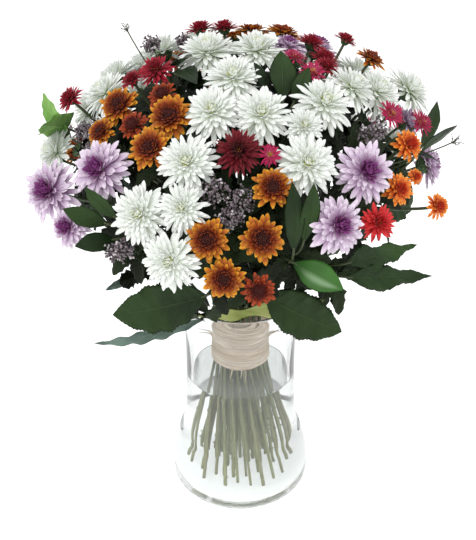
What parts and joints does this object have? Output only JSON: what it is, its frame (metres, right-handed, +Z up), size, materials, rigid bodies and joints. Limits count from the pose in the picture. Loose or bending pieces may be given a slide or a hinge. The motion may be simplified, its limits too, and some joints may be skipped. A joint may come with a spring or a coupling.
{
  "type": "chrysanthemum bouquet in a glass vase",
  "caption": "Hand-tied dome of mixed spray chrysanthemums, asters and foliage, bound with raffia and standing in a flared clear glass vase of water.",
  "frame": {"origin": "centre of the underside of the vase's foot, where it rests", "axes": "+Z up, along the vase and through the top of the dome of flowers; -Y is the front of the bouquet"},
  "size_m": [0.3761, 0.3841, 0.4836],
  "materials": {
    "vase_glass": "gloss",
    "water": "gloss",
    "raffia": "matte",
    "white_bloom": "matte",
    "lilac_bloom": "matte",
    "bronze_bloom": "matte",
    "rust_bloom": "matte",
    "orange_bloom": "matte",
    "red_bloom": "matte",
    "magenta_bloom": "matte",
    "dark_leaf": "satin",
    "serrated_leaf": "matte",
    "long_leaf": "matte",
    "pale_leaf": "matte",
    "ivy_leaf": "satin",
    "sea_lavender": "matte"
  },
  "bodies": {
    "root": {"bronze_stem_1": "bronze_bloom", "bronze_stem_2": "bronze_bloom", "bronze_stem_3": "bronze_bloom", "bronze_stem_4": "bronze_bloom", "bronze_stem_5": "bronze_bloom", "bronze_stem_6": "bronze_bloom", "bronze_stem_7": "bronze_bloom", "bronze_stem_8": "bronze_bloom", "glass_vase": "vase_glass", "ivy_stem_1": "ivy_leaf", "lilac_stem_1": "lilac_bloom", "lilac_stem_2": "lilac_bloom", "lilac_stem_3": "lilac_bloom", "lilac_stem_4": "lilac_bloom", "lilac_stem_5": "lilac_bloom", "limonium_stem_1": "sea_lavender", "limonium_stem_2": "sea_lavender", "limonium_stem_3": "sea_lavender", "limonium_stem_4": "sea_lavender", "limonium_stem_5": "sea_lavender", "long_stem_1": "long_leaf", "long_stem_2": "long_leaf", "magenta_stem_1": "magenta_bloom", "magenta_stem_2": "magenta_bloom", "magenta_stem_3": "magenta_bloom", "magenta_stem_4": "magenta_bloom", "orange_stem_1": "orange_bloom", "pale_stem_1": "pale_leaf", "raffia_tie": "raffia", "red_stem_1": "red_bloom", "red_stem_2": "red_bloom", "red_stem_3": "red_bloom", "red_stem_4": "red_bloom", "red_stem_5": "red_bloom", "red_stem_6": "red_bloom", "ruscus_stem_1": "dark_leaf", "ruscus_stem_2": "dark_leaf", "ruscus_stem_3": "dark_leaf", "ruscus_stem_4": "dark_leaf", "ruscus_stem_5": "dark_leaf", "rust_stem_1": "rust_bloom", "rust_stem_2": "rust_bloom", "serrated_stem_1": "serrated_leaf", "serrated_stem_2": "serrated_leaf", "serrated_stem_3": "serrated_leaf", "serrated_stem_4": "serrated_leaf", "water": "water", "white_stem_1": "white_bloom", "white_stem_10": "white_bloom", "white_stem_11": "white_bloom", "white_stem_12": "white_bloom", "white_stem_13": "white_bloom", "white_stem_2": "white_bloom", "white_stem_3": "white_bloom", "white_stem_4": "white_bloom", "white_stem_5": "white_bloom", "white_stem_6": "white_bloom", "white_stem_7": "white_bloom", "white_stem_8": "white_bloom", "white_stem_9": "white_bloom"}
  },
  "joints": []
}
